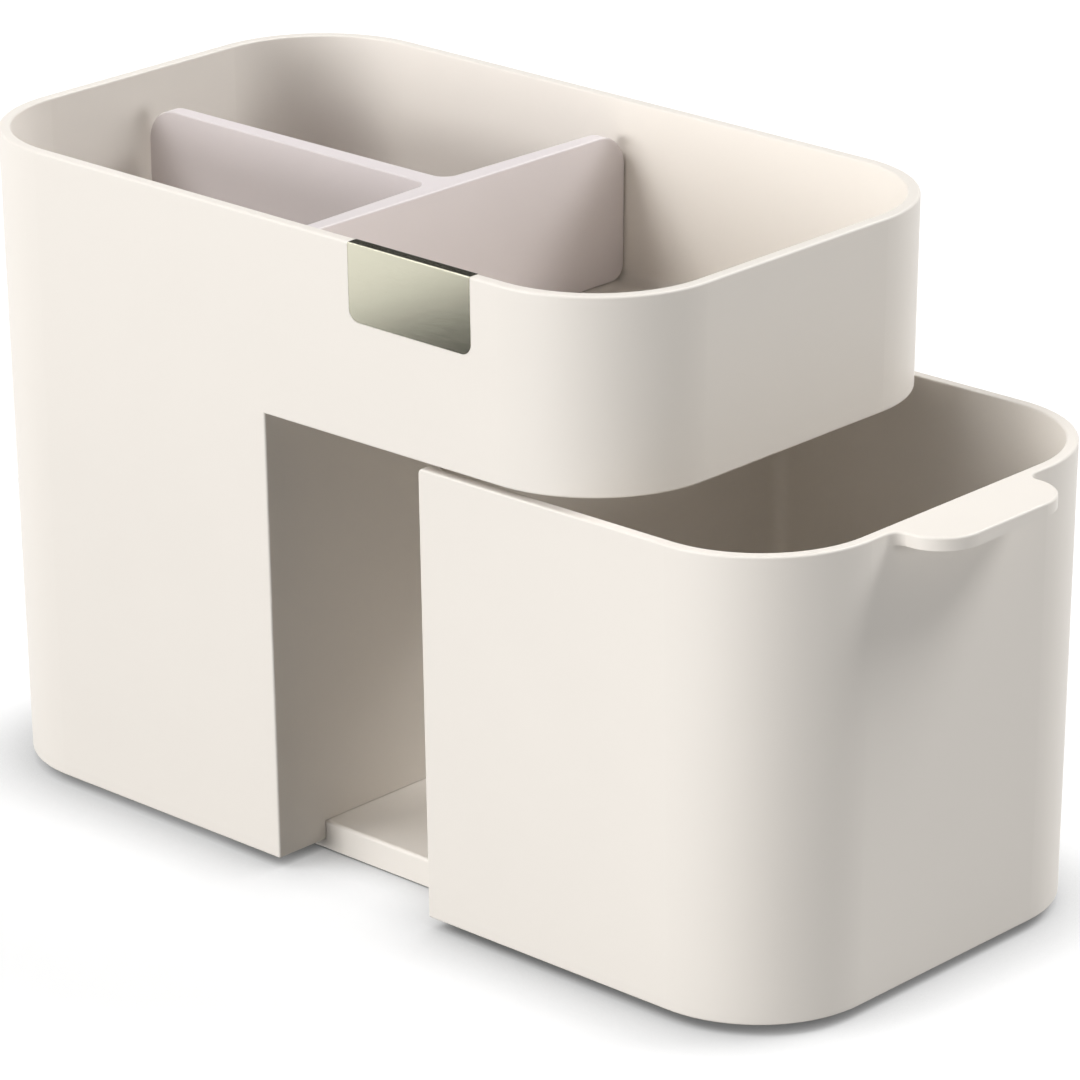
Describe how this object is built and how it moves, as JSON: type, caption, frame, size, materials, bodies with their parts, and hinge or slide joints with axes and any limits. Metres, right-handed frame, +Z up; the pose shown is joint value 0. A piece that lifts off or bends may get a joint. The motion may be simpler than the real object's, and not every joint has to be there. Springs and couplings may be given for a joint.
{
  "type": "makeup organizer with drawer",
  "caption": "Desktop makeup organizer with a shallow tray over a pull-out drawer, a deep well split by a lift-out divider, and a low base rail that the drawer slides along.",
  "frame": {"origin": "middle of the object's outline on the table, with the drawer open as pictured", "axes": "+X along the housing towards the drawer's pull tab, +Y from the long wall with the badge towards the back, +Z up"},
  "size_m": [0.3092, 0.142, 0.182],
  "materials": {
    "shell": "satin moulded",
    "insert": "satin moulded",
    "badge_metal": "brushed",
    "screw_steel": "bright zinc",
    "pad_rubber": "matte",
    "adhesive_film": "matte"
  },
  "bodies": {
    "housing": {"housing": "shell", "base_rail": "shell", "base_screws": "screw_steel", "badge_plate": "badge_metal", "badge_film": "adhesive_film", "foot_pad_1": "pad_rubber", "foot_pad_2": "pad_rubber", "foot_pad_3": "pad_rubber", "foot_pad_4": "pad_rubber", "foot_pad_5": "pad_rubber", "foot_pad_6": "pad_rubber"},
    "drawer": {"drawer": "shell"},
    "divider": {"divider": "insert"}
  },
  "joints": [
    {"name": "drawer_slide", "type": "slide", "parent": "housing", "child": "drawer", "axis": [1, 0, 0], "range_m": [-0.054, 0.036]},
    {"name": "divider_lift", "type": "slide", "parent": "housing", "child": "divider", "axis": [0, 0, 1], "range_m": [0, 0.165]}
  ]
}
